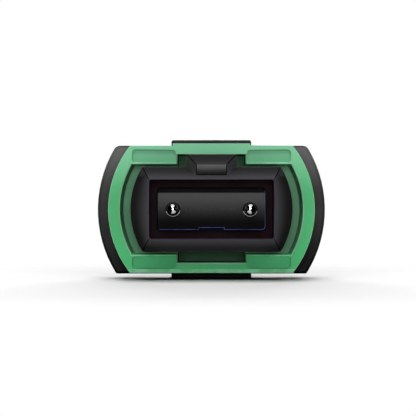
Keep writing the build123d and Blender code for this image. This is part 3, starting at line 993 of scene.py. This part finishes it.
@dataclass
class Ferrule(SoftenedPiece):
    """The moulded block, with countersinks painted dark as shade, a painted glint on their lower rims, and
    painted highlights on its right and bottom edges.
    """

    radius: float = 0.02 * MM
    pin_x: float = 2.3 * MM
    mouth_radius: float = 0.415 * MM
    mouth_limit: float = 0.6 * MM
    rim_radius: float = 0.46 * MM
    rim_inside: float = 0.39 * MM
    front: float = 0.6 * MM
    glint_rim_top: float = -0.11 * MM
    flange_front: float = 6.4 * MM
    no_highlight_side: float = -3.1 * MM
    no_highlight_top: float = 1.1 * MM
    bores_side: float = 1.5 * MM
    bore_height: float = 0.08 * MM

    def shape(self, mesh: BMesh) -> None:
        """Soften the block, and give its countersinks painted shade and glints and its edges painted
        highlights.

        Args:
            mesh: The joined mesh.
        """
        self.narrow_mouths(mesh)
        super().shape(mesh)
        layer = mesh.faces.layers.float[EDGE_LAYER]
        for face in mesh.faces:
            middle = face.calc_center_median()
            reach = math.hypot(abs(middle.x) - self.pin_x, middle.z)
            farthest = max(math.hypot(abs(v.co.x) - self.pin_x, v.co.z) for v in face.verts)
            # Countersink faces take painted shade, and those on the lower rim a painted glint.
            if middle.y < self.front and farthest < self.rim_radius:
                glinting = face[layer] and reach > self.rim_inside and middle.z < self.glint_rim_top
                self.dress(face, RIM_GLINT if glinting else COUNTERSINK_SHADE)
            # The left and top edges lose their painted highlight.
            if middle.x < self.no_highlight_side or middle.z > self.no_highlight_top:
                face[layer] = 0.0
            # Forward faces behind the end face take the notch's painted highlight.
            if self.front < middle.y < self.flange_front and face.normal.y < -FACING:
                self.dress(face, NOTCH_HIGHLIGHT)

    def stays_sharp(self, edge: BMEdge) -> bool:
        """Tell whether an edge belongs to a fibre's bore."""
        return all(abs(v.co.x) < self.bores_side and abs(v.co.z) < self.bore_height for v in edge.verts)

    def narrow_mouths(self, mesh: BMesh) -> None:
        """Draw the mouths of the countersinks in to circles, along the slanted end face.

        Args:
            mesh: The ferrule's mesh.
        """
        for vert in mesh.verts:
            centre = Vector((math.copysign(self.pin_x, vert.co.x), 0.0, 0.0))
            reach = math.hypot(vert.co.x - centre.x, vert.co.z)
            if vert.co.y < self.front and self.mouth_radius < reach < self.mouth_limit:
                vert.co = centre + (vert.co - centre) * self.mouth_radius / reach

    def finishes(self) -> list[Finish]:
        """Return the resin, then the countersinks' painted shade, the painted glint on their lower rims, and
        the notch's painted highlight.
        """
        return [self.finish, COUNTERSINK_SHADE, RIM_GLINT, NOTCH_HIGHLIGHT]


@dataclass
class WireStretch:
    """One stretch of a wound wire: a bend about an axis along Y, or a straight run."""

    rise: float
    steps: int
    angle: float = 0.0
    centre: Vector = field(default_factory=Vector)
    run: Vector = field(default_factory=Vector)


@dataclass
class WoundSpring(Piece):
    """A spring of round wire with closed ends, wound by spinning and drawing out a circle.

    It lists its joint, the Y of its fixed end, and the share of its length that it keeps when squashed.
    """

    wire: float
    closed_pitch: float
    open_turns: int
    sides: int
    steps: int
    joint: str
    fixed_end: float
    keep: float

    def stretches(self) -> tuple[Vector, list[WireStretch]]:
        """Return where the wire starts, and its stretches in order."""
        raise NotImplementedError

    def rises(self, length: float) -> list[float]:
        """Return how far each turn climbs: closed ones at the ends, and open ones between."""
        closed = self.closed_pitch * self.wire
        return [closed, *[(length - 2 * closed) / self.open_turns] * self.open_turns, closed]

    def build(self) -> Object:
        """Build the spring and give it a mesh of its own.

        Returns:
            The finished object.
        """
        wound = super().build()
        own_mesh(wound)
        return wound

    def mesh(self) -> BMesh:
        """Wind the wire.

        Returns:
            The mesh.
        """
        start, stretches = self.stretches()
        mesh = bmesh.new()
        place = set_at(start, SIDEWAYS)
        ring = bmesh.ops.create_circle(mesh, segments=self.sides, radius=self.wire / 2, matrix=place)
        geometry: list = ring["verts"] + list(mesh.edges)
        for stretch in stretches:
            if stretch.angle:
                made = bmesh.ops.spin(
                    mesh,
                    geom=geometry,
                    cent=stretch.centre,
                    axis=LENGTHWAYS,
                    dvec=(0.0, stretch.rise / stretch.steps, 0.0),
                    angle=stretch.angle,
                    steps=stretch.steps,
                )
                geometry = made["geom_last"]
            else:
                edges = [each for each in geometry if isinstance(each, BMEdge)]
                made = bmesh.ops.extrude_edge_only(mesh, edges=edges)
                moved = [each for each in made["geom"] if isinstance(each, BMVert)]
                bmesh.ops.translate(mesh, verts=moved, vec=stretch.run + Vector((0.0, stretch.rise, 0.0)))
                edges = [each for each in made["geom"] if isinstance(each, BMEdge)]
                geometry = moved + [edge for edge in edges if all(v in moved for v in edge.verts)]
        bmesh.ops.remove_doubles(mesh, verts=mesh.verts, dist=MERGE_DISTANCE)
        bmesh.ops.holes_fill(mesh, edges=[edge for edge in mesh.edges if edge.is_boundary], sides=self.sides)
        bmesh.ops.recalc_face_normals(mesh, faces=mesh.faces)
        return mesh


@dataclass
class CouplingSpring(WoundSpring):
    """One of the two small springs that push the coupling forward."""

    wire: float = 0.25 * MM
    closed_pitch: float = 1.04
    open_turns: int = 5
    sides: int = 10
    steps: int = 28
    joint: str = "coupling_slide"
    fixed_end: float = 16.22 * MM
    keep: float = 1 - 2.0 / 6.2  # the joint takes 2 mm of the spring's 6.2 mm

    def stretches(self) -> tuple[Vector, list[WireStretch]]:
        """Wind closed end turns round open ones, in the CAD spring's place.

        Returns:
            The start and the turns.
        """
        low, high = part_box(self.node)
        hub = Vector(((low.x + high.x) / 2, 0.0, 0.0))
        start = Vector((hub.x, low.y + self.wire / 2, (high.z - low.z - self.wire) / 2))
        rises = self.rises(high.y - low.y - self.wire)
        return start, [WireStretch(rise, self.steps, math.tau, hub) for rise in rises]


@dataclass
class MainSpring(WoundSpring):
    """The oval spring behind the ferrule."""

    wire: float = 0.45 * MM
    closed_pitch: float = 1.03
    open_turns: int = 4
    sides: int = 14
    steps: int = 16
    joint: str = "ferrule_float"
    fixed_end: float = 17.5 * MM
    keep: float = 1 - 1.0 / 7.5  # the joint takes 1 mm of the spring's 7.5 mm

    def stretches(self) -> tuple[Vector, list[WireStretch]]:
        """Wind closed end laps round open ones, in the CAD spring's place.

        Returns:
            The start, and each lap's two runs and two half turns.
        """
        low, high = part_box(self.node)
        bend = (high.z - low.z - self.wire) / 2
        straight = high.x - low.x - self.wire - 2 * bend
        lap = 2 * straight + math.tau * bend
        stretches = []
        for rise in self.rises(high.y - low.y - self.wire):
            run_rise = rise * straight / lap
            bend_rise = rise / 2 - run_rise
            for side in (1, -1):
                hub = Vector((side * straight / 2, 0.0, 0.0))
                stretches.append(WireStretch(run_rise, 1, run=Vector((side * straight, 0.0, 0.0))))
                stretches.append(WireStretch(bend_rise, self.steps, math.pi, hub))
        return Vector((-straight / 2, low.y + self.wire / 2, bend)), stretches


@dataclass
class TurnedPiece(Piece):
    """A round piece, spun about an axis along Y from its outline."""

    centre_x: float = 0.0
    steps: int = 64

    def outline(self) -> list[Pair]:
        """Return the outline's points in order, as radius and Y."""
        raise NotImplementedError

    def mesh(self) -> BMesh:
        """Spin the outline.

        Returns:
            The mesh.
        """
        mesh = bmesh.new()
        verts = [mesh.verts.new((self.centre_x + radius, y, 0.0)) for radius, y in self.outline()]
        edges = [mesh.edges.new(pair) for pair in zip(verts, verts[1:])]
        if self.outline()[0][0] > 0.0:
            edges.append(mesh.edges.new((verts[-1], verts[0])))
        bmesh.ops.spin(
            mesh,
            geom=verts + edges,
            cent=(self.centre_x, 0.0, 0.0),
            axis=LENGTHWAYS,
            angle=math.tau,
            steps=self.steps,
            use_merge=True,
        )
        bmesh.ops.remove_doubles(mesh, verts=mesh.verts, dist=MERGE_DISTANCE)
        bmesh.ops.recalc_face_normals(mesh, faces=mesh.faces)
        return mesh


@dataclass
class GuidePin(TurnedPiece):
    """A ground steel pin with a bullet nose and a necked tail."""

    nose: float = 0.62 * MM
    tip_radius: float = 0.03 * MM
    neck_radius: float = 0.25 * MM
    neck: Pair = (8.5 * MM, 9.0 * MM)
    round_over: float = 0.03 * MM
    nose_points: int = 14

    def outline(self) -> list[Pair]:
        """Draw the nose as an arc and the neck with rounded shoulders.

        Returns:
            The outline from the tip to the tail.
        """
        low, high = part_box(self.node)
        self.centre_x = (low.x + high.x) / 2
        radius = (high.x - low.x) / 2
        front, rear = self.neck
        points = [(0.0, low.y)]
        for i in range(self.nose_points + 1):
            turn = i / self.nose_points * math.pi / 2
            reach = self.tip_radius + (radius - self.tip_radius) * math.sin(turn)
            points.append((reach, low.y + self.nose * (1 - math.cos(turn))))
        edge = self.round_over
        points += [
            (radius, front - edge),
            (radius - edge, front),
            (self.neck_radius, front),
            (self.neck_radius, rear),
            (radius - edge, rear),
            (radius, rear + edge),
            (radius, high.y - 2 * edge),
            (radius - 2 * edge, high.y),
            (0.0, high.y),
        ]
        return points


@dataclass
class CrimpSleeve(TurnedPiece):
    """The nickel-plated sleeve on the post, with turned edges."""

    steps: int = 96
    wall: float = 0.3 * MM
    cone: Pair = (29.0 * MM, 29.8 * MM)
    neck_radius: float = 1.6 * MM
    round_over: float = 0.05 * MM
    cone_ease: float = 0.015 * MM
    lead: float = 0.15 * MM

    def outline(self) -> list[Pair]:
        """Draw the sleeve's wall, closed all round.

        Returns:
            The outline.
        """
        low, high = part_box(self.node)
        outside = (high.x - low.x) / 2
        inside = outside - self.wall
        neck_outside = self.neck_radius + self.wall
        cone_front, cone_rear = self.cone
        edge = self.round_over
        return [
            (inside + self.lead, low.y),
            (outside - edge, low.y),
            (outside, low.y + edge),
            (outside, cone_front - edge),
            (outside - self.cone_ease, cone_front + edge),
            (neck_outside + self.cone_ease, cone_rear - edge),
            (neck_outside, cone_rear + edge),
            (neck_outside, high.y - edge),
            (neck_outside - edge, high.y),
            (self.neck_radius + edge, high.y),
            (self.neck_radius, high.y - edge),
            (self.neck_radius, cone_rear),
            (inside, cone_front),
            (inside, low.y + self.lead),
        ]


@dataclass
class Fibre(Piece):
    """One glass fibre, round where the CAD has flats."""

    sides: int = 20
    slant: float = math.radians(8)

    def mesh(self) -> BMesh:
        """Draw a rod in the CAD fibre's place, cut to the slant of the end face.

        Returns:
            The mesh.
        """
        low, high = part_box(self.node)
        centre = (low + high) / 2
        radius = (high.x - low.x) / 2
        mesh = bmesh.new()
        bmesh.ops.create_cone(
            mesh,
            cap_ends=True,
            segments=self.sides,
            radius1=radius,
            radius2=radius,
            depth=high.y - low.y,
            matrix=Matrix.Translation(centre) @ Matrix.Rotation(math.pi / 2, 4, "X"),
        )
        bmesh.ops.bisect_plane(
            mesh,
            geom=[*mesh.verts, *mesh.edges, *mesh.faces],
            dist=MERGE_DISTANCE / 10,
            plane_co=Vector((centre.x, low.y + radius * math.tan(self.slant), 0.0)),
            plane_no=Vector((0.0, -math.cos(self.slant), math.sin(self.slant))),
            clear_outer=True,
        )
        ring = [edge for edge in mesh.edges if edge.is_boundary]
        bmesh.ops.holes_fill(mesh, edges=ring, sides=2 * self.sides)
        return mesh


@dataclass(frozen=True)
class Lamp:
    """A soft rectangular lamp, by the way to it from the plug and the level that it gives there."""

    name: str
    way: Triple
    distance: float
    size: Pair
    level: float
    floor_only: bool = False

    def hang(self, target: Vector) -> None:
        """Hang the lamp so that it faces the target.

        Args:
            target: The point that it lights.
        """
        light = bpy.data.lights.new(self.name, "AREA")
        light.shape = "RECTANGLE"
        light.size, light.size_y = self.size
        light.energy = (math.pi * self.distance) ** 2 * self.level
        lamp = link_object(self.name, light)
        way = Vector(self.way).normalized()
        lamp.location = target + way * self.distance
        lamp.rotation_euler = way.to_track_quat("Z", "Y").to_euler()
        if self.floor_only:
            lamp.light_linking.receiver_collection = bpy.data.collections[FLOOR_ONLY]


@dataclass(frozen=True)
class Flag:
    """A dark card that shows only in reflections, as a photographer sets one up."""

    name: str
    middle: Vector
    facing: Triple
    size: Pair

    def stand(self) -> None:
        """Stand the card in its place."""
        scale = Matrix.Diagonal((self.size[0] / 2, self.size[1] / 2, 1.0, 1.0))
        place = set_at(self.middle, self.facing) @ scale
        mesh = bmesh.new()
        bmesh.ops.create_grid(mesh, x_segments=1, y_segments=1, size=1.0, matrix=place)
        card = link_mesh(self.name, mesh, [FLAG_PAPER])
        for way in ("camera", "diffuse", "transmission", "volume_scatter", "shadow"):
            setattr(card, f"visible_{way}", False)
        card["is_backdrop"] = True


@dataclass
class Studio:
    """The floor, the white surround, the lamps, the flags and the camera."""

    floor_height: float
    view_width: float = 24.76 * MM
    distance: float = 250 * MM
    aim: Vector = field(default_factory=lambda: Vector((-0.21 * MM, 0.0, 0.07 * MM)))
    sensor: float = 36.0
    floor_radius: float = 0.45
    floor_sides: int = 96
    surround: float = 0.33
    lit_point: Vector = field(default_factory=lambda: Vector((0.0, 8 * MM, 0.0)))
    flag_gap: float = 0.1
    flag_height: float = 0.2
    flag_length: float = 1.5
    flag_middle: float = -0.45
    bare_strip: float = 3.5 * MM
    flag_lift: float = 0.2 * MM
    camera_drop: float = 0.6 * MM
    clip: Pair = (1 * MM, 20.0)

    def floor(self) -> None:
        """Lay a pale floor that keeps the plug's shadow."""
        mesh = bmesh.new()
        place = Matrix.Translation((0.0, 0.0, self.floor_height))
        bmesh.ops.create_circle(
            mesh, cap_ends=True, segments=self.floor_sides, radius=self.floor_radius, matrix=place
        )
        floor = link_mesh("floor", mesh, [FLOOR_PAPER])
        bpy.data.collections.new(FLOOR_ONLY).objects.link(floor)
        floor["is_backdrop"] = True

    def world(self) -> None:
        """Light the scene with a weak white surround, which shows as plain white where it is seen."""
        world = bpy.data.worlds.new("surround")
        bpy.context.scene.world = world
        world.use_nodes = True
        nodes = Tree(world.node_tree)
        path = nodes.add("ShaderNodeLightPath").outputs
        seen = nodes.maths("MAXIMUM", path["Is Camera Ray"], path["Is Glossy Ray"])
        seen = nodes.maths("MAXIMUM", seen, path["Is Transmission Ray"])
        strength = nodes.maths("ADD", nodes.maths("MULTIPLY", seen, 1.0 - self.surround), self.surround)
        nodes.fill(world.node_tree.nodes["Background"], Color=(1.0, 1.0, 1.0), Strength=strength)

    def lamps(self) -> None:
        """Hang the lamps: a key above, one by the camera, a fill on each side, and one behind.

        Three more light only the floor: two low ones, behind and in front, and one above.
        """
        for lamp in (
            Lamp("key_lamp", (-0.1, -0.5, 0.86), 0.7, (0.34, 0.2), 0.42),
            Lamp("front_lamp", (0.0, -1.0, 0.04), 0.7, (0.12, 0.12), 0.3),
            Lamp("fill_lamp_left", (-0.55, -1.0, 0.4), 0.7, (0.24, 0.2), 0.11),
            Lamp("fill_lamp_right", (0.55, -1.0, 0.4), 0.7, (0.24, 0.2), 0.11),
            Lamp("back_lamp", (0.0, 1.0, 0.3), 0.8, (0.24, 0.14), 0.45),
            Lamp("floor_lamp_rear", (0.0, 1.0, 0.105), 0.8, (0.22, 0.1), 8.8, floor_only=True),
            Lamp("floor_lamp_front", (0.0, -1.0, 0.105), 0.8, (0.3, 0.1), 9.3, floor_only=True),
            Lamp("floor_lamp_top", (0.0, -0.02, 1.0), 0.6, (0.3, 0.3), 0.6, floor_only=True),
        ):
            lamp.hang(self.lit_point)

    def flags(self) -> None:
        """Stand a dark card on each side and lay dark strips on the floor, which the pins mirror."""
        gap, strip = self.flag_gap, self.bare_strip
        for side, name in ((1.0, "right"), (-1.0, "left")):
            wall = Vector((side * gap, self.flag_middle, self.floor_height + self.flag_height / 2))
            Flag(f"side_flag_{name}", wall, (-side, 0.0, 0.0), (self.flag_length, self.flag_height)).stand()
            lying = Vector((side * (gap + strip) / 2, self.flag_middle, self.floor_height + self.flag_lift))
            Flag(f"floor_flag_{name}", lying, UP, (gap - strip, self.flag_length)).stand()

    def camera(self) -> None:
        """Stand the camera straight in front of the mating end, a hair below the middle."""
        data = bpy.data.cameras.new("camera")
        data.sensor_width = self.sensor
        data.lens = self.sensor * self.distance / self.view_width
        data.clip_start, data.clip_end = self.clip
        camera = link_object("camera", data)
        camera.location = self.aim - Vector((0.0, self.distance, self.camera_drop))
        camera.rotation_euler = (self.aim - camera.location).to_track_quat("-Z", "Y").to_euler()
        bpy.context.scene.camera = camera

    def build(self) -> None:
        """Build the whole studio."""
        bpy.context.scene.view_settings.view_transform = "Standard"
        self.floor()
        self.world()
        self.lamps()
        self.flags()
        self.camera()


def plug_pieces() -> list[Piece]:
    """List the plug's pieces, from the mating end to the inlet, and then its springs.

    Returns:
        The pieces, not yet built.
    """
    housing_plastic = (Body.HOUSING, Slot.HOUSING_BLACK, HOUSING_PLASTIC)
    pin_steel = (Body.FERRULE, Slot.PIN_STEEL, PIN_STEEL)
    spring_steel = (Body.HOUSING, Slot.SPRING_STEEL, SPRING_STEEL)
    return [
        InnerHousing("inner_housing", *housing_plastic),
        SoftenedPiece("spring_push", *housing_plastic),
        CrimpSleeve("crimp_sleeve", Body.HOUSING, Slot.SLEEVE_NICKEL, SLEEVE_NICKEL),
        Ferrule("ferrule", Body.FERRULE, Slot.FERRULE_RESIN, FERRULE_RESIN),
        *[GuidePin(f"guide_pin_{side}", *pin_steel) for side in ("left", "right")],
        SoftenedPiece("pin_keeper", Body.FERRULE, Slot.KEEPER_RESIN, KEEPER_RESIN, radius=0.03 * MM),
        SoftenedPiece("ferrule_boot", Body.FERRULE, Slot.BOOT_RUBBER, BOOT_RUBBER),
        CouplingSleeve("coupling_sleeve", Body.COUPLING, Slot.COUPLING_GREEN, COUPLING_PLASTIC),
        GripShell("grip_shell", Body.COUPLING, Slot.GRIP_BLACK, GRIP_PLASTIC),
        *[Fibre(f"fibre_{number:02}", Body.FERRULE, Slot.FIBRE_GLASS, FIBRE_GLASS) for number in range(1, 13)],
        *[CouplingSpring(f"coupling_spring_{side}", *spring_steel) for side in ("left", "right")],
        MainSpring("main_spring", *spring_steel),
    ]


def main() -> None:
    """Build every piece, then the studio round them."""
    logging.basicConfig(level=logging.INFO, format="%(name)s: %(message)s")
    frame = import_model()
    cad_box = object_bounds()
    Piece.cad_nodes = frame["nodes"]
    build_effects()
    for piece in plug_pieces():
        piece.build()
    Studio(floor_height=cad_box[0].z).build()
    bpy.context.view_layer.update()


if __name__ == "__main__":
    main()
